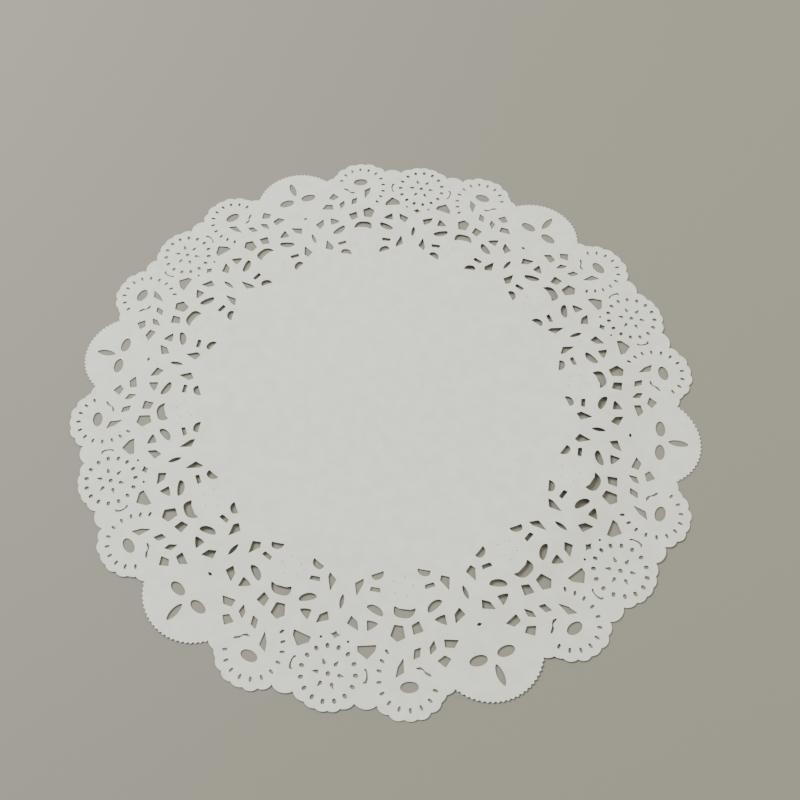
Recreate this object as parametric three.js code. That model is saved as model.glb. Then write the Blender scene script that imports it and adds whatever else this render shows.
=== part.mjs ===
// A round paper doily: one flat sheet with a plain centre and a die-cut lace border.
// The border is one repeat turned six times, and each repeat is its own mirror image.
// Millimetres, +Z up. The origin is the centre of the underside, and +X runs through a trefoil lobe.
import * as THREE from "three";

const sheetThickness = 1;
const repeats = 6;
const rosetteTip = 152.5; // radius of the outline on the middle line of a rosette lobe
const trefoilTurn = 30; // degrees from a rosette's middle line to a trefoil's

// The trefoil lobe's edge is an arc cut into small teeth.
const trefoilLobe = { centre: 129.3, tipRadius: 24.1, valleyRadius: 23.4, teeth: 22 };

// The outline from the rosette's middle line to the notch beside the trefoil lobe.
// Each stretch is an arc that ends at radius and turn and stands out by bulge from its chord.
const rimArcs = [
  { radius: 151.7, turn: 1, bulge: 0.2, chords: 2 },
  { radius: 150.1, turn: 2.95, bulge: 0.9, chords: 3 },
  { radius: 147.3, turn: 5.1, bulge: 1, chords: 3 },
  { radius: 147.4, turn: 8.75, bulge: 2, chords: 5 },
  { radius: 151, turn: 10.65, bulge: 1.2, chords: 4 },
  { radius: 153, turn: 12.95, bulge: 1.4, chords: 4 },
  { radius: 153.1, turn: 15.1, bulge: 0.9, chords: 3 },
  { radius: 151, turn: 17.25, bulge: 1.3, chords: 4 },
  { radius: 147.6, turn: 19.2, bulge: 1.2, chords: 4 },
  { radius: 145, turn: 20.25, bulge: 0.35, chords: 2 },
  { radius: 143.3, turn: 21.95, bulge: 0.45, chords: 2 },
];

// Openings are placed by radius, by turn in degrees from the rosette's middle line towards the
// trefoil's, and by tilt, which leans them from straight outwards towards the trefoil.

// The lattice comes twice in a half repeat, the second time as a mirror image.
const lattice = {
  kites: [
    { radius: 113.8, turn: 3.7, tilt: 31, length: 7.4, left: 3.3, right: 1.4, leftAt: 0.68, rightAt: 0.52 },
  ],
  caps: [
    { radius: 114.4, turn: 6.35, tilt: 95, span: 4.7, rise: 4.9, dent: 0, lean: 0.75, full: 1.5, steps: 4 },
    { radius: 90.4, turn: 8.4, tilt: 21, span: 5.9, rise: 3.1, dent: 0.1, lean: -0.5, full: 0.85, steps: 5 },
  ],
  bowls: [{ radius: 98.1, turn: 7.95, tilt: -7, length: 2, outer: 4.9, inner: 4.2, ridge: 0, lean: 0 }],
  leaves: [{ radius: 107.8, turn: 7.95, tilt: 61, length: 8.1, left: 1, right: 2.5, point: 1, steps: 8 }],
};

// The border proper comes once in a half repeat.
const border = {
  kites: [
    { radius: 97.6, turn: 4, tilt: -15, length: 8.8, left: 2.9, right: 0.8, leftAt: 0.6, rightAt: 0.75 },
    { radius: 98.4, turn: 26.1, tilt: 9, length: 7.8, left: 1.6, right: 3.1, leftAt: 0.74, rightAt: 0.68 },
    { radius: 115.7, turn: 16.95, tilt: -29, length: 6.7, left: 2.3, right: 3.5, leftAt: 0.54, rightAt: 0.48 },
    { radius: 126.5, turn: 16.4, tilt: -39, length: 6.3, left: 1.9, right: 1.8, leftAt: 0.6, rightAt: 0.4 },
    { radius: 124.8, turn: 19.5, tilt: -25, length: 6.6, left: 1.2, right: 2, leftAt: 0.42, rightAt: 0.48 },
    { radius: 131.5, turn: 21.35, tilt: -10, length: 5.3, left: 3.4, right: 2.7, leftAt: 0.55, rightAt: 0.7 },
    { radius: 132, turn: 12.8, tilt: -26, length: 9.2, left: 0.8, right: 2.6, leftAt: 0.5, rightAt: 0.38 },
  ],
  caps: [
    { radius: 106.1, turn: 15.1, tilt: -11, span: 9.5, rise: 5.1, dent: 1, lean: -0.7, full: 0.7, steps: 7 },
  ],
  bowls: [
    { radius: 124.1, turn: 6.65, tilt: 7, length: 2.5, outer: 7.6, inner: 8.4, ridge: 3.5, lean: -0.3 },
    { radius: 116.5, turn: 13, tilt: -11, length: 5.1, outer: 6.6, inner: 4, ridge: 2.2, lean: 0.2 },
    { radius: 124.8, turn: 23.35, tilt: -15, length: 3.5, outer: 4, inner: 6.4, ridge: 0, lean: -0.7 },
  ],
  leaves: [
    { radius: 140.2, turn: 14.3, tilt: 90, length: 7.9, left: 2.4, right: 2.4, point: 1, steps: 12 },
    { radius: 134.4, turn: 27.3, tilt: 90, length: 8.2, left: 2.3, right: 2.3, point: 1, steps: 10 },
  ],
};

// These lie on a middle line and come once in a repeat.
const middle = {
  leaves: [
    { radius: 105.2, turn: 0, tilt: 0, length: 6.8, left: 1, right: 1, point: 1.6, steps: 6 },
    { radius: 105.2, turn: trefoilTurn, tilt: 0, length: 6.8, left: 1, right: 1, point: 1.6, steps: 6 },
    { radius: 142.7, turn: trefoilTurn, tilt: 0, length: 9.5, left: 1.65, right: 1.65, point: 1.4, steps: 8 },
  ],
};

const paperColour = 0xe6e6df;
const paperRoughness = 0.9;

const doilyCentre = new THREE.Vector2();

function polar(radius, degrees) {
  const angle = THREE.MathUtils.degToRad(degrees);
  return new THREE.Vector2(radius * Math.cos(angle), radius * Math.sin(angle));
}

function turned(points, degrees) {
  const angle = THREE.MathUtils.degToRad(degrees);
  return points.map((point) => point.clone().rotateAround(doilyCentre, angle));
}

function mirrored(points) {
  return points.map((point) => new THREE.Vector2(point.x, -point.y)).reverse();
}

// Each form's points have x along its length, outwards, and y across it, towards the trefoil.

// A quadrilateral with a tip, a tail and a shoulder on each side.
function kite({ length, left, right, leftAt, rightAt }) {
  return [
    new THREE.Vector2(length / 2, 0),
    new THREE.Vector2(length * (0.5 - rightAt), right),
    new THREE.Vector2(-length / 2, 0),
    new THREE.Vector2(length * (0.5 - leftAt), -left),
  ];
}

// A power of a sine or cosine that keeps its sign.
function signedPower(value, power) {
  return Math.sign(value) * Math.abs(value) ** power;
}

// An oval that reaches left and right of its length. Its ends grow pointed as point rises above 1.
function leaf({ length, left, right, point, steps }) {
  return Array.from({ length: steps }, (_, step) => {
    const angle = (2 * Math.PI * step) / steps;
    const across = signedPower(Math.sin(angle), point);
    const reach = across > 0 ? right : left;
    return new THREE.Vector2((length / 2) * Math.cos(angle), reach * across);
  });
}

// A four-sided pot, whose outer side may rise to a ridge and lean to one side.
function bowl({ length, outer, inner, ridge, lean }) {
  const corners = [
    new THREE.Vector2(length / 2, lean + outer / 2),
    new THREE.Vector2(-length / 2, inner / 2),
    new THREE.Vector2(-length / 2, -inner / 2),
    new THREE.Vector2(length / 2, lean - outer / 2),
  ];
  if (ridge > 0) corners.push(new THREE.Vector2(length / 2 + ridge, lean));
  return corners;
}

// An arch on a span. It is squarer as full falls below 1, and its foot may be dented.
function cap({ span, rise, dent, lean, full, steps }) {
  const arch = Array.from({ length: steps + 1 }, (_, step) => {
    const angle = (Math.PI * step) / steps;
    const height = signedPower(Math.sin(angle), full);
    const reach = signedPower(Math.cos(angle), full);
    return new THREE.Vector2(rise * height, (span / 2) * reach + lean * height);
  });
  if (dent > 0) {
    arch.push(new THREE.Vector2(dent, -span / 4), new THREE.Vector2(dent, span / 4));
  }
  return arch;
}

// A form's points at its place, where x runs along the rosette's middle line.
function placed(form, { radius, turn, tilt }) {
  const centre = polar(radius, turn);
  return turned(form, turn + tilt).map((point) => point.add(centre));
}

function outlines({ kites = [], caps = [], bowls = [], leaves = [] }) {
  return [
    ...kites.map((row) => placed(kite(row), row)),
    ...caps.map((row) => placed(cap(row), row)),
    ...bowls.map((row) => placed(bowl(row), row)),
    ...leaves.map((row) => placed(leaf(row), row)),
  ];
}

// Points of an arc from one place to another, without its first point.
function arcPoints(from, to, bulge, chords) {
  const half = from.distanceTo(to) / 2;
  const radius = (half ** 2 + bulge ** 2) / (2 * bulge);
  const outwards = new THREE.Vector2(to.y - from.y, from.x - to.x).normalize();
  const centre = from.clone().lerp(to, 0.5).addScaledVector(outwards, bulge - radius);
  const sweep = 2 * Math.asin(half / radius);
  return Array.from({ length: chords }, (_, chord) =>
    from.clone().rotateAround(centre, (sweep * (chord + 1)) / chords),
  );
}

// Half of the trefoil lobe's teeth, from the notch beside it to its middle line.
function toothPoints(notch) {
  const lobeCentre = polar(trefoilLobe.centre, trefoilTurn);
  const middleLine = THREE.MathUtils.degToRad(trefoilTurn);
  const firstAngle = notch.clone().sub(lobeCentre).angle() - 2 * Math.PI;
  const toothAngle = (2 * (middleLine - firstAngle)) / trefoilLobe.teeth;
  const points = [];
  for (let tooth = 0; tooth < trefoilLobe.teeth / 2; tooth++) {
    const tip = new THREE.Vector2(trefoilLobe.tipRadius, 0);
    const valley = new THREE.Vector2(trefoilLobe.valleyRadius, 0);
    tip.rotateAround(doilyCentre, firstAngle + toothAngle * (tooth + 0.5)).add(lobeCentre);
    valley.rotateAround(doilyCentre, firstAngle + toothAngle * (tooth + 1)).add(lobeCentre);
    points.push(tip, valley);
  }
  return points;
}

// The outline of half a repeat, from the rosette's middle line to the trefoil's.
function halfRim() {
  const points = [polar(rosetteTip, 0)];
  for (const { radius, turn, bulge, chords } of rimArcs) {
    points.push(...arcPoints(points.at(-1), polar(radius, turn), bulge, chords));
  }
  return [...points, ...toothPoints(points.at(-1))];
}

const rimHalf = halfRim();
const rimRepeat = [...mirrored(rimHalf).slice(1), ...rimHalf.slice(1)];

const latticeOutlines = outlines(lattice);
const halfOutlines = [
  ...latticeOutlines,
  ...latticeOutlines.map((points) => turned(mirrored(points), trefoilTurn)),
  ...outlines(border),
];
const repeatOutlines = [...halfOutlines, ...halfOutlines.map(mirrored), ...outlines(middle)];

const rim = [];
const openings = [];
for (let repeat = 0; repeat < repeats; repeat++) {
  const degrees = trefoilTurn + (360 / repeats) * repeat;
  rim.push(...turned(rimRepeat, degrees));
  openings.push(...repeatOutlines.map((points) => turned(points, degrees)));
}

const laceShape = new THREE.Shape(rim);
laceShape.holes = openings.map((points) => new THREE.Path(points));

const paper = new THREE.MeshStandardMaterial({
  color: paperColour,
  roughness: paperRoughness,
  metalness: 0,
});

const sheet = new THREE.Mesh(
  new THREE.ExtrudeGeometry(laceShape, { depth: sheetThickness, bevelEnabled: false }),
  paper,
);
sheet.name = "lace_sheet";

const doily = new THREE.Group();
doily.add(sheet);

export default doily;
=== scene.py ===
import math

import bpy
from mathutils import Matrix, Quaternion, Vector, noise
from mathutils.geometry import delaunay_2d_cdt
from mathutils.kdtree import KDTree


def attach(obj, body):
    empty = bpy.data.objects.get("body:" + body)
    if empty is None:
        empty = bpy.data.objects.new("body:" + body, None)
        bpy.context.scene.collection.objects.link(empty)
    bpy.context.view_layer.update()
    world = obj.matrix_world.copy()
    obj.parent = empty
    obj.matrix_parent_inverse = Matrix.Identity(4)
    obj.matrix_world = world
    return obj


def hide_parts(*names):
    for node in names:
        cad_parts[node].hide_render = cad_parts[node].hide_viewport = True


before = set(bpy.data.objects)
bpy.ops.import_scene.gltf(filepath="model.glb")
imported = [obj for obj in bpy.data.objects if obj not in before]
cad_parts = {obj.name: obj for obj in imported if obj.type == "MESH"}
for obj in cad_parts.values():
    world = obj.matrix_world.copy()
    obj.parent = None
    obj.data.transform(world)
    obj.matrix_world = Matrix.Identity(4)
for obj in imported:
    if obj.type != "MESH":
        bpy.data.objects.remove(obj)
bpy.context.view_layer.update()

bpy.ops.object.select_all(action="DESELECT")
mm = 0.001

# A round paper doily that lies on a table: thin die-cut paper with a plain centre.
# The lace is one repeat turned six times, and each repeat is its own mirror image.
# Sizes are millimetres and turns are degrees, up to where the mesh is made.
doily = {
    "repeats": 6,
    "trefoilTurn": 30,  # from a rosette's middle line to a trefoil's
    "rosetteTip": 152.5,  # radius of the rim on a rosette's middle line
    "thickness": 0.2,  # a little over real paper, so that its edge shows
    "cornerRound": 0.45,  # how far a cut corner's rounding reaches along its sides
    "cornerShare": 0.4,  # the most of a side that a corner's rounding may take
    "cornerBend": 24,  # degrees, below which a corner stays as it is
    "cutStep": 1.1,  # longest straight stretch of a cut
    "rimStep": 0.8,  # about the same on the rim
    "gridStep": 2.3,  # between the points inside the paper
    "gridClear": 0.85,  # from those points to a cut
    "mergeGap": 0.01,
    "creaseAngle": 40,  # edges sharper than this stay sharp
    "flatSize": (0.307, 0.305),  # metres
    "paperArea": 0.0645,  # square metres, without the openings
}

# The paper lies flat in the middle and its lace stands a little off the table.
settle = {
    "flatRadius": 45,
    "crestRadius": 106,  # where the lace stands highest
    "rimRadius": 138,  # from here outwards it lies low again
    "centreSwell": 0.2,
    "centreWave": 75,  # width of a swell in the plain centre
    "centreSample": 40,  # the height at which the noise is cut picks the swells
    "laceSwell": 1.3,
    "laceWave": 66,  # width of a swell in the lace
    "laceSample": 250,
    "laceRest": 0.9,  # share of the swell by which the lace stands off where it is level
    "laceEase": 0.02,  # how softly a low swell comes to rest on the table
    "rimShare": 0.25,  # how much of the swell is left at the rim
    "lobeLift": 0.7,
    "lobeWave": 26,
    "lobeSample": 90,
}

# The trefoil lobe's edge is an arc cut into small teeth.
trefoilLobe = {"centre": 129.3, "tip": 24.1, "valley": 23.4, "teeth": 22, "toothPoints": 6}

# The rim from the rosette's middle line to the notch beside the trefoil lobe. Each stretch
# is an arc that ends at radius and turn and stands out by bulge from its chord.
rimArcs = [
    {"radius": 151.7, "turn": 1, "bulge": 0.2},
    {"radius": 150.1, "turn": 2.95, "bulge": 0.9},
    {"radius": 147.3, "turn": 5.1, "bulge": 1},
    {"radius": 147.4, "turn": 8.75, "bulge": 2},
    {"radius": 151, "turn": 10.65, "bulge": 1.2},
    {"radius": 153, "turn": 12.95, "bulge": 1.4},
    {"radius": 153.1, "turn": 15.1, "bulge": 0.9},
    {"radius": 151, "turn": 17.25, "bulge": 1.3},
    {"radius": 147.6, "turn": 19.2, "bulge": 1.2},
    {"radius": 145, "turn": 20.25, "bulge": 0.35},
    {"radius": 143.3, "turn": 21.95, "bulge": 0.45},
]

# Openings are placed by radius, by turn from the rosette's middle line towards the
# trefoil's, and by tilt, which leans them from straight outwards towards the trefoil.
# The lattice comes twice in half a repeat, the second time as a mirror image.
latticeKites = [
    {"radius": 113.8, "turn": 3.7, "tilt": 31,
     "length": 7.4, "left": 3.3, "right": 1.4, "leftAt": 0.68, "rightAt": 0.52},
]
latticeCaps = [
    {"radius": 114.4, "turn": 6.35, "tilt": 95,
     "span": 4.7, "rise": 4.9, "dent": 0, "lean": 0.75, "full": 1.5},
    {"radius": 90.4, "turn": 8.4, "tilt": 21,
     "span": 5.9, "rise": 3.1, "dent": 0.1, "lean": -0.5, "full": 0.85},
]
latticeBowls = [
    {"radius": 98.1, "turn": 7.95, "tilt": -7,
     "length": 2, "outer": 4.9, "inner": 4.2, "ridge": 0, "lean": 0},
]
latticeLeaves = [
    {"radius": 107.8, "turn": 7.95, "tilt": 61, "length": 8.1, "left": 1, "right": 2.5, "point": 1},
]

# The border comes once in half a repeat.
borderKites = [
    {"radius": 97.6, "turn": 4, "tilt": -15,
     "length": 8.8, "left": 2.9, "right": 0.8, "leftAt": 0.6, "rightAt": 0.75},
    {"radius": 98.4, "turn": 26.1, "tilt": 9,
     "length": 7.8, "left": 1.6, "right": 3.1, "leftAt": 0.74, "rightAt": 0.68},
    {"radius": 115.7, "turn": 16.95, "tilt": -29,
     "length": 6.7, "left": 2.3, "right": 3.5, "leftAt": 0.54, "rightAt": 0.48},
    {"radius": 126.5, "turn": 16.4, "tilt": -39,
     "length": 6.3, "left": 1.9, "right": 1.8, "leftAt": 0.6, "rightAt": 0.4},
    {"radius": 124.8, "turn": 19.5, "tilt": -25,
     "length": 6.6, "left": 1.2, "right": 2, "leftAt": 0.42, "rightAt": 0.48},
    {"radius": 131.5, "turn": 21.35, "tilt": -10,
     "length": 5.3, "left": 3.4, "right": 2.7, "leftAt": 0.55, "rightAt": 0.7},
    {"radius": 132, "turn": 12.8, "tilt": -26,
     "length": 9.2, "left": 0.8, "right": 2.6, "leftAt": 0.5, "rightAt": 0.38},
]
borderCaps = [
    {"radius": 106.1, "turn": 15.1, "tilt": -11,
     "span": 9.5, "rise": 5.1, "dent": 1, "lean": -0.7, "full": 0.7},
]
borderBowls = [
    {"radius": 124.1, "turn": 6.65, "tilt": 7,
     "length": 2.5, "outer": 7.6, "inner": 8.4, "ridge": 3.5, "lean": -0.3},
    {"radius": 116.5, "turn": 13, "tilt": -11,
     "length": 5.1, "outer": 6.6, "inner": 4, "ridge": 2.2, "lean": 0.2},
    {"radius": 124.8, "turn": 23.35, "tilt": -15,
     "length": 3.5, "outer": 4, "inner": 6.4, "ridge": 0, "lean": -0.7},
]
borderLeaves = [
    {"radius": 140.2, "turn": 14.3, "tilt": 90,
     "length": 7.9, "left": 2.4, "right": 2.4, "point": 1},
    {"radius": 134.4, "turn": 27.3, "tilt": 90,
     "length": 8.2, "left": 2.3, "right": 2.3, "point": 1},
    {"radius": 122.2, "turn": 2.8, "tilt": 0, "length": 1.2, "left": 0.6, "right": 0.6, "point": 1},
]

# Small cuts stand in rings round the centre of a rosette, a fan or a plain patch. first and
# step are turns round the ring, from straight outwards towards the trefoil.
rosetteDrop = {"radius": 136.8, "turn": 0, "length": 3.3,
               "left": 0.95, "right": 0.95, "leftAt": 0.76, "rightAt": 0.76}
rosetteDropRings = [{"ring": 5.5, "first": 30, "step": 60, "count": 6}]
rosetteDot = {"radius": 136.7, "turn": 0, "length": 2.3, "left": 0.88, "right": 0.88, "point": 0.7}
rosetteDotRings = [{"ring": 11.7, "first": 0, "step": 24, "count": 15}]
fanSlit = {"radius": 137.5, "turn": 14.1, "length": 2.4, "left": 0.64, "right": 0.64, "point": 0.65}
fanSlitRings = [
    {"ring": 12.1, "first": -90, "step": 22.5, "count": 8},
    {"ring": 12.6, "first": -112, "step": 0, "count": 1},
    {"ring": 13.3, "first": -131, "step": 0, "count": 1},
    {"ring": 14.7, "first": -148.5, "step": 0, "count": 1},
]
pinhole = {"radius": 96.8, "turn": 15.1, "length": 0.5, "left": 0.25, "right": 0.25, "point": 1}
pinholeRings = [{"ring": 4.6, "first": 17, "step": 72, "count": 5}]

# These lie on a middle line and come once in a repeat.
middleLeaves = [
    {"radius": 105.2, "turn": 0, "tilt": 0, "length": 6.8, "left": 1, "right": 1, "point": 1.6},
    {"radius": 105.2, "turn": doily["trefoilTurn"], "tilt": 0,
     "length": 6.8, "left": 1, "right": 1, "point": 1.6},
    {"radius": 142.7, "turn": doily["trefoilTurn"], "tilt": 0,
     "length": 9.5, "left": 1.65, "right": 1.65, "point": 1.4},
    {"radius": 136.8, "turn": 0, "tilt": 0, "length": 2.1, "left": 1, "right": 1, "point": 1},
]
middleStars = [
    {"radius": 120, "turn": 0, "tilt": 90, "length": 5, "width": 3.8, "point": 2.8},
    {"radius": 120.2, "turn": doily["trefoilTurn"], "tilt": 90,
     "length": 2.6, "width": 1.6, "point": 1.8},
]

# Narrow bent slits follow a path of places and widths.
bentSlits = [
    [
        {"radius": 138.6, "turn": 6.3, "width": 0.8},
        {"radius": 138.4, "turn": 6.78, "width": 1.1},
        {"radius": 136.5, "turn": 6.97, "width": 0.8},
        {"radius": 134.6, "turn": 6.9, "width": 0.6},
        {"radius": 133.5, "turn": 6.75, "width": 0.8},
        {"radius": 132.9, "turn": 6.4, "width": 0.9},
    ],
    [
        {"radius": 132.7, "turn": 15.8, "width": 0.4},
        {"radius": 132.8, "turn": 16.5, "width": 1.3},
        {"radius": 133.4, "turn": 17.05, "width": 0.6},
        {"radius": 134.2, "turn": 17.25, "width": 0.5},
        {"radius": 135.2, "turn": 17.55, "width": 1.1},
        {"radius": 136, "turn": 18.05, "width": 1.1},
        {"radius": 136.6, "turn": 18.4, "width": 0.5},
    ],
]


def polar(radius, degrees):
    return Vector((radius, 0)) @ Matrix.Rotation(math.radians(-degrees), 2)


def turned(points, degrees):
    turn = Matrix.Rotation(math.radians(degrees), 2)
    return [turn @ point for point in points]


def mirrored(points):
    return [Vector((point.x, -point.y)) for point in reversed(points)]


def signedPower(value, power):
    return math.copysign(abs(value) ** power, value)


# Each form's points have x along its length, outwards, and y across it, towards the trefoil.
def kite(row):
    long = row["length"]
    return [
        Vector((long / 2, 0)),
        Vector((long * (0.5 - row["rightAt"]), row["right"])),
        Vector((-long / 2, 0)),
        Vector((long * (0.5 - row["leftAt"]), -row["left"])),
    ]


def leaf(row, steps=24):
    points = []
    for step in range(steps):
        angle = 2 * math.pi * step / steps
        across = signedPower(math.sin(angle), row["point"])
        side = row["right"] if across > 0 else row["left"]
        points.append(Vector((row["length"] / 2 * math.cos(angle), side * across)))
    return points


def dot(row):
    return leaf(row, 12)


def star(row, steps=24):
    points = []
    for step in range(steps):
        angle = 2 * math.pi * step / steps
        along = signedPower(math.cos(angle), row["point"])
        across = signedPower(math.sin(angle), row["point"])
        points.append(Vector((row["length"] / 2 * along, row["width"] / 2 * across)))
    return points


def bowl(row):
    long, lean = row["length"], row["lean"]
    corners = [
        Vector((long / 2, lean + row["outer"] / 2)),
        Vector((-long / 2, row["inner"] / 2)),
        Vector((-long / 2, -row["inner"] / 2)),
        Vector((long / 2, lean - row["outer"] / 2)),
    ]
    if row["ridge"] > 0:
        corners.append(Vector((long / 2 + row["ridge"], lean)))
    return corners


def cap(row, steps=14):
    points = []
    for step in range(steps + 1):
        angle = math.pi * step / steps
        height = signedPower(max(math.sin(angle), 0), row["full"])
        reach = signedPower(math.cos(angle), row["full"])
        across = row["span"] / 2 * reach + row["lean"] * height
        points.append(Vector((row["rise"] * height, across)))
    if row["dent"] > 0:
        points.append(Vector((row["dent"], -row["span"] / 4)))
        points.append(Vector((row["dent"], row["span"] / 4)))
    return points


def placed(points, row):
    centre = polar(row["radius"], row["turn"])
    return [point + centre for point in turned(points, row["turn"] + row["tilt"])]


def ringed(form, cut, rings):
    centre = polar(cut["radius"], cut["turn"])
    ringCuts = []
    for row in rings:
        for index in range(row["count"]):
            around = cut["turn"] + row["first"] + row["step"] * index
            place = centre + polar(row["ring"], around)
            ringCuts.append([point + place for point in turned(form(cut), around)])
    return ringCuts


def bent(path):
    middle = [polar(row["radius"], row["turn"]) for row in path]
    left, right = [], []
    for index, row in enumerate(path):
        before = middle[max(index - 1, 0)]
        after = middle[min(index + 1, len(path) - 1)]
        side = (after - before).orthogonal().normalized() * row["width"] / 2
        left.append(middle[index] + side)
        right.append(middle[index] - side)
    return right + left[::-1]


# Rounds each sharp corner and shortens long stretches.
def eased(points):
    reach = doily["cornerRound"]
    rounded = []
    for index, point in enumerate(points):
        before, after = points[index - 1], points[(index + 1) % len(points)]
        back, on = before - point, after - point
        if min(back.length, on.length) < 1e-6:  # the same place twice
            continue
        bend = 180 - math.degrees(back.angle(on))
        if bend < doily["cornerBend"]:
            rounded.append(point)
            continue
        start = point + back * min(doily["cornerShare"], reach / back.length)
        end = point + on * min(doily["cornerShare"], reach / on.length)
        for share in (0, 0.33, 0.67, 1):  # along a curve that the corner pulls
            rounded.append(start.lerp(point, share).lerp(point.lerp(end, share), share))
    finished = []
    for index, point in enumerate(rounded):
        after = rounded[(index + 1) % len(rounded)]
        pieces = max(1, math.ceil((after - point).length / doily["cutStep"]))
        finished += [point.lerp(after, piece / pieces) for piece in range(pieces)]
    return finished


def arcPoints(start, end, bulge):
    half = (end - start).length / 2
    radius = (half**2 + bulge**2) / (2 * bulge)
    outwards = Vector((end.y - start.y, start.x - end.x)).normalized()
    centre = (start + end) / 2 + outwards * (bulge - radius)
    sweep = 2 * math.degrees(math.asin(half / radius))
    chords = max(2, round(2 * half / doily["rimStep"]))
    spoke = start - centre
    turns = [sweep * (chord + 1) / chords for chord in range(chords)]
    return [centre + turned([spoke], turn)[0] for turn in turns]


def toothPoints(notch):
    centre = polar(trefoilLobe["centre"], doily["trefoilTurn"])
    firstAngle = math.degrees(math.atan2(notch.y - centre.y, notch.x - centre.x))
    tooth = 2 * (doily["trefoilTurn"] - firstAngle) / trefoilLobe["teeth"]
    middle = (trefoilLobe["tip"] + trefoilLobe["valley"]) / 2
    swing = (trefoilLobe["tip"] - trefoilLobe["valley"]) / 2
    steps = trefoilLobe["teeth"] // 2 * trefoilLobe["toothPoints"]
    points = []
    for step in range(1, steps + 1):
        phase = step / trefoilLobe["toothPoints"]
        radius = middle - swing * math.cos(2 * math.pi * phase)
        points.append(centre + polar(radius, firstAngle + tooth * phase))
    return points


def halfRim():
    points = [polar(doily["rosetteTip"], 0)]
    for arc in rimArcs:
        points += arcPoints(points[-1], polar(arc["radius"], arc["turn"]), arc["bulge"])
    return points + toothPoints(points[-1])


def repeatCuts():
    latticeCuts = [placed(kite(row), row) for row in latticeKites]
    latticeCuts += [placed(cap(row), row) for row in latticeCaps]
    latticeCuts += [placed(bowl(row), row) for row in latticeBowls]
    latticeCuts += [placed(leaf(row), row) for row in latticeLeaves]
    half = latticeCuts + [turned(mirrored(cut), doily["trefoilTurn"]) for cut in latticeCuts]
    half += [placed(kite(row), row) for row in borderKites]
    half += [placed(cap(row), row) for row in borderCaps]
    half += [placed(bowl(row), row) for row in borderBowls]
    half += [placed(leaf(row), row) for row in borderLeaves]
    half += ringed(dot, fanSlit, fanSlitRings)
    half += ringed(dot, pinhole, pinholeRings)
    half += [bent(path) for path in bentSlits]
    whole = half + [mirrored(cut) for cut in half]
    whole += [placed(leaf(row), row) for row in middleLeaves]
    whole += [placed(star(row), row) for row in middleStars]
    whole += ringed(dot, rosetteDot, rosetteDotRings)
    whole += ringed(kite, rosetteDrop, rosetteDropRings)
    return [eased(cut) for cut in whole]


rimHalf = halfRim()
rimRepeat = mirrored(rimHalf)[1:] + rimHalf[1:]
cutsRepeat = repeatCuts()

rim, cuts = [], []
for repeat in range(doily["repeats"]):
    degrees = doily["trefoilTurn"] + 360 / doily["repeats"] * repeat
    rim += turned(rimRepeat, degrees)
    cuts += [turned(cut, degrees) for cut in cutsRepeat]
print("lace drawn:", len(cuts), "openings,", len(rim), "points on the rim")


def easedShare(value, start, end):
    share = min(max((value - start) / (end - start), 0), 1)
    return share * share * (3 - 2 * share)


def swell(point, sample, width):
    return noise.noise(Vector((point.x, point.y, sample)) / width)


# How far the paper stands off the table at a place, before the lowest place is put on it.
def standsOff(point):
    rising = easedShare(point.length, settle["flatRadius"], settle["crestRadius"])
    falling = easedShare(point.length, settle["crestRadius"], settle["rimRadius"])
    centre = swell(point, settle["centreSample"], settle["centreWave"])
    broad = swell(point, settle["laceSample"], settle["laceWave"]) + settle["laceRest"]
    lobes = swell(point, settle["lobeSample"], settle["lobeWave"])
    resting = (broad + math.sqrt(broad * broad + settle["laceEase"])) / 2  # never below the table
    lifted = settle["laceSwell"] * resting + settle["lobeLift"] * lobes * resting
    lifted *= 1 - (1 - settle["rimShare"]) * falling
    return settle["centreSwell"] * centre * (1 - rising) + lifted * rising


# An even net of points inside the rim, none of them close to a cut.
def netPoints(outlinePoints):
    near = KDTree(len(outlinePoints))
    for index, point in enumerate(outlinePoints):
        near.insert(point.to_3d(), index)
    near.balance()
    reach = max(point.length for point in rim)
    step = doily["gridStep"]
    rowStep = step * math.sqrt(3) / 2
    rows = math.ceil(reach / rowStep)
    points = []
    for row in range(-rows, rows + 1):
        for column in range(-rows, rows + 1):
            point = Vector(((column + row % 2 / 2) * step, row * rowStep))
            if point.length < reach and near.find(point.to_3d())[2] > doily["gridClear"]:
                points.append(point)
    return points


def insideOutline(place, outline):
    inside = False
    for index, point in enumerate(outline):
        before = outline[index - 1]
        if (point.y > place.y) != (before.y > place.y):
            along = (before.x - point.x) * (place.y - point.y) / (before.y - point.y)
            crossing = along + point.x
            inside = inside != (place.x < crossing)
    return inside


# Leaves out the triangles that lie in an opening.
def paperFaces(places, faces):
    middles = [sum(cut, Vector((0, 0))) / len(cut) for cut in cuts]
    reach = max((point - middle).length for cut, middle in zip(cuts, middles) for point in cut)
    near = KDTree(len(cuts))
    for index, middle in enumerate(middles):
        near.insert(middle.to_3d(), index)
    near.balance()
    kept = []
    for face in faces:
        place = (places[face[0]] + places[face[1]] + places[face[2]]) / 3
        around = near.find_range(place.to_3d(), reach)
        if not any(insideOutline(place, cuts[index]) for _, index, _ in around):
            kept.append(face)
    return kept


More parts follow.
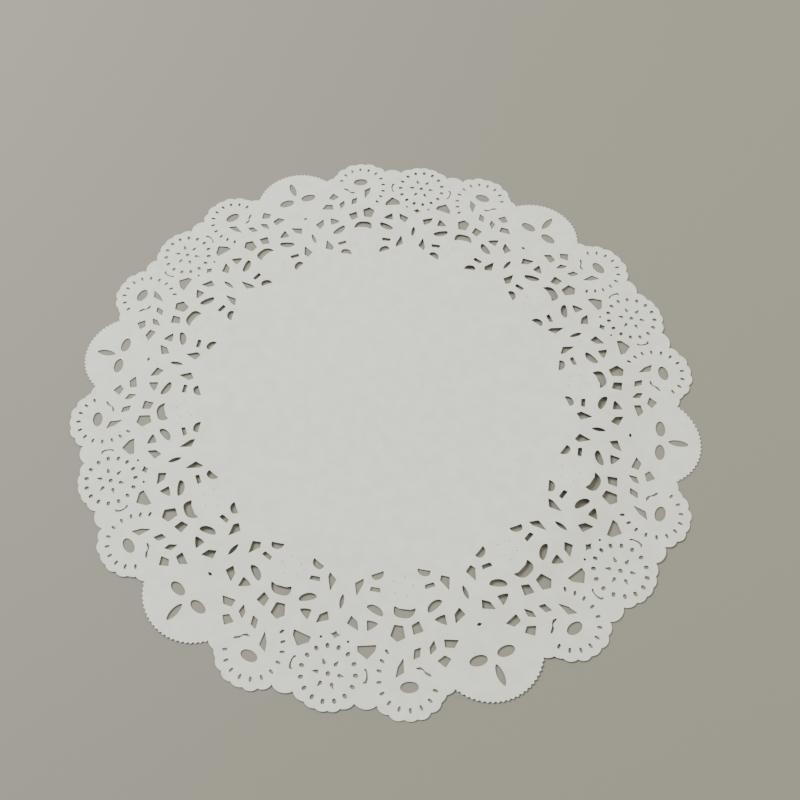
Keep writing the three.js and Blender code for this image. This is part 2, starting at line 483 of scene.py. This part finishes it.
def makeDoily():
    points, edges = [], []
    for outline in [rim] + cuts:
        first = len(points)
        points += outline
        count = len(outline)
        edges += [(first + index, first + (index + 1) % count) for index in range(count)]
    points += netPoints(points)
    triangulated = delaunay_2d_cdt(points, edges, [], 1, 1e-5)  # 1 keeps what lies inside the rim
    places = triangulated[0]
    faces = paperFaces(places, triangulated[2])

    heights = [standsOff(place) for place in places]
    table = min(heights)
    print("paper stands off the table by", round(max(heights) - table, 2), "mm at most")
    corners = []
    for place, height in zip(places, heights):
        corners.append((place.x * mm, place.y * mm, (height - table) * mm))
    mesh = bpy.data.meshes.new("laceDoily")
    mesh.from_pydata(corners, [], faces)
    sheet = bpy.data.objects.new("laceDoily", mesh)
    bpy.context.scene.collection.objects.link(sheet)
    bpy.context.view_layer.objects.active = sheet
    sheet.select_set(True)

    bpy.ops.object.mode_set(mode="EDIT")
    bpy.ops.mesh.select_all(action="SELECT")
    bpy.ops.mesh.remove_doubles(threshold=doily["mergeGap"] * mm)
    bpy.ops.mesh.delete_loose()
    bpy.ops.mesh.select_all(action="SELECT")
    bpy.ops.mesh.normals_make_consistent(inside=False)
    bpy.ops.object.mode_set(mode="OBJECT")
    if sum(face.normal.z for face in mesh.polygons) < 0:  # the open sheet came out face down
        mesh.flip_normals()

    solidify = sheet.modifiers.new("paperThickness", "SOLIDIFY")
    solidify.thickness = doily["thickness"] * mm
    solidify.offset = 1
    bpy.ops.object.modifier_apply(modifier=solidify.name)
    bpy.ops.object.shade_smooth_by_angle(angle=math.radians(doily["creaseAngle"]))
    sheet.select_set(False)
    return sheet


doilySheet = makeDoily()
print("doily made:", len(doilySheet.data.polygons), "faces")


def linear(hexColour):
    channels = [int(hexColour[index:index + 2], 16) / 255 for index in (0, 2, 4)]
    return [c / 12.92 if c <= 0.04045 else ((c + 0.055) / 1.055) ** 2.4 for c in channels] + [1]


def addNode(tree, kind, settings={}, links={}):
    node = tree.nodes.new(kind)
    for name, value in settings.items():
        if name in node.inputs:
            node.inputs[name].default_value = value
        else:
            setattr(node, name, value)
    for name, output in links.items():
        tree.links.new(output, node.inputs[name])
    return node


# Uncoated bleached wood-free paper, pressed and die-cut: matt and nearly white, with faint
# clouds where its fibres lie thicker and a fine felted tooth.
paper = {
    "thickClouds": "EBECE2",
    "thinClouds": "E2E4D9",
    "cloudSize": 7,  # mm
    "fibreSize": 1.1,  # real fibres are under 0.1 mm wide, drawn coarser so that they show
    "fibreDepth": 0.03,
    "cockleSize": 16,  # shallow dents from handling
    "cockleDepth": 0.12,
    "roughness": 0.88,
    "refraction": 1.5,
    "sheen": 0.3,  # specular level, under the usual half because the paper is uncoated
}


def makePaper():
    material = bpy.data.materials.new("dieCutPaper")
    material.use_nodes = True
    tree = material.node_tree
    shader = tree.nodes["Principled BSDF"]
    shader.inputs["Roughness"].default_value = paper["roughness"]
    shader.inputs["IOR"].default_value = paper["refraction"]
    shader.inputs["Specular IOR Level"].default_value = paper["sheen"]
    place = addNode(tree, "ShaderNodeTexCoord").outputs["Object"]
    clouds = addNode(
        tree,
        "ShaderNodeTexNoise",
        {"Scale": 1 / (paper["cloudSize"] * mm), "Detail": 4, "Roughness": 0.6},
        {"Vector": place},
    )
    fibres = addNode(
        tree,
        "ShaderNodeTexNoise",
        {"Scale": 1 / (paper["fibreSize"] * mm), "Detail": 3, "Roughness": 0.7, "Distortion": 1.2},
        {"Vector": place},
    )
    cockle = addNode(
        tree,
        "ShaderNodeTexNoise",
        {"Scale": 1 / (paper["cockleSize"] * mm), "Detail": 1, "Roughness": 0.4},
        {"Vector": place},
    )
    tone = addNode(
        tree,
        "ShaderNodeMapRange",
        {"From Min": 0.35, "From Max": 0.65},
        {"Value": clouds.outputs["Fac"]},
    )
    colour = addNode(
        tree,
        "ShaderNodeMix",
        {"data_type": "RGBA"},
        {"Factor": tone.outputs["Result"]},
    )
    colour.inputs["A"].default_value = linear(paper["thinClouds"])
    colour.inputs["B"].default_value = linear(paper["thickClouds"])
    tree.links.new(colour.outputs["Result"], shader.inputs["Base Color"])
    dents = addNode(
        tree,
        "ShaderNodeBump",
        {"Strength": 1, "Distance": paper["cockleDepth"] * mm},
        {"Height": cockle.outputs["Fac"]},
    )
    tooth = addNode(
        tree,
        "ShaderNodeBump",
        {"Strength": 1, "Distance": paper["fibreDepth"] * mm},
        {"Height": fibres.outputs["Fac"], "Normal": dents.outputs["Normal"]},
    )
    tree.links.new(tooth.outputs["Normal"], shader.inputs["Normal"])
    return material


doilySheet.data.materials.append(makePaper())
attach(doilySheet, "root")
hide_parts("lace_sheet")
print("paper laid on the sheet")

# The table top: pale matt laminate, a step darker than the paper so that the lace reads.
studio = {
    "floorSize": 6,  # metres, as are the lights' places and sizes
    "floorColour": "8C8A7E",
    "floorRoughness": 0.75,
    "grainSize": 2 / 3,  # mm, of the laminate's fine texture
    "grainDepth": 0.02,  # mm
    "keyPlace": (-1.35, 0.62, 1.45),
    "keySize": 1.0,
    "keyPower": 61,
    "keyColour": "FBFCFB",
    "fillPlace": (0.85, 0.32, 0.8),
    "fillSize": 1.2,
    "fillPower": 6,
    "fillColour": "FFEFDA",
    "skyColour": "F2F4EE",
    "skyStrength": 0.45,
}


def makeFloor():
    bpy.ops.mesh.primitive_plane_add(size=studio["floorSize"], location=(0, 0, 0))
    floor = bpy.context.active_object
    floor.name = "tableTop"
    material = bpy.data.materials.new("mattLaminate")
    material.use_nodes = True
    tree = material.node_tree
    shader = tree.nodes["Principled BSDF"]
    shader.inputs["Base Color"].default_value = linear(studio["floorColour"])
    shader.inputs["Roughness"].default_value = studio["floorRoughness"]
    place = addNode(tree, "ShaderNodeTexCoord").outputs["Object"]
    grain = addNode(
        tree,
        "ShaderNodeTexNoise",
        {"Scale": 1 / (studio["grainSize"] * mm), "Detail": 2},
        {"Vector": place},
    )
    bump = addNode(
        tree,
        "ShaderNodeBump",
        {"Strength": 0.3, "Distance": studio["grainDepth"] * mm},
        {"Height": grain.outputs["Fac"]},
    )
    tree.links.new(bump.outputs["Normal"], shader.inputs["Normal"])
    floor.data.materials.append(material)
    floor.select_set(False)
    return floor


def addSoftbox(role):
    light = bpy.data.lights.new(role + "Softbox", "AREA")
    light.shape = "DISK"
    light.size = studio[role + "Size"]
    light.energy = studio[role + "Power"]
    light.color = linear(studio[role + "Colour"])[:3]
    box = bpy.data.objects.new(role + "Softbox", light)
    bpy.context.scene.collection.objects.link(box)
    box.location = studio[role + "Place"]
    box.rotation_euler = (-box.location).to_track_quat("-Z", "Y").to_euler()  # at the doily


tableTop = makeFloor()
addSoftbox("key")
addSoftbox("fill")
sky = bpy.data.worlds.new("studioSky")
sky.use_nodes = True
background = sky.node_tree.nodes["Background"]
background.inputs["Color"].default_value = linear(studio["skyColour"])
background.inputs["Strength"].default_value = studio["skyStrength"]
bpy.context.scene.world = sky
print("studio lit")

# The camera looks down at 61 degrees. Places are millimetres.
view = {
    "place": (25.6, -219.9, 391.8),
    "aim": (-29.5, -7.2, 0),
    "roll": -3.6,  # degrees
    "lens": 40.86,
    "sensor": 36,
    "shiftX": 0.1,  # share of the picture's width
    "nearest": 10,
}


def placeCamera():
    data = bpy.data.cameras.new("viewCamera")
    data.lens = view["lens"]
    data.sensor_width = view["sensor"]
    data.shift_x = view["shiftX"]
    data.clip_start = view["nearest"] * mm
    camera = bpy.data.objects.new("viewCamera", data)
    bpy.context.scene.collection.objects.link(camera)
    camera.location = Vector(view["place"]) * mm
    towards = (Vector(view["aim"]) - Vector(view["place"])).to_track_quat("-Z", "Y")
    camera.rotation_euler = (towards @ Quaternion((0, 0, 1), math.radians(view["roll"]))).to_euler()
    bpy.context.scene.camera = camera


placeCamera()
print("camera placed")
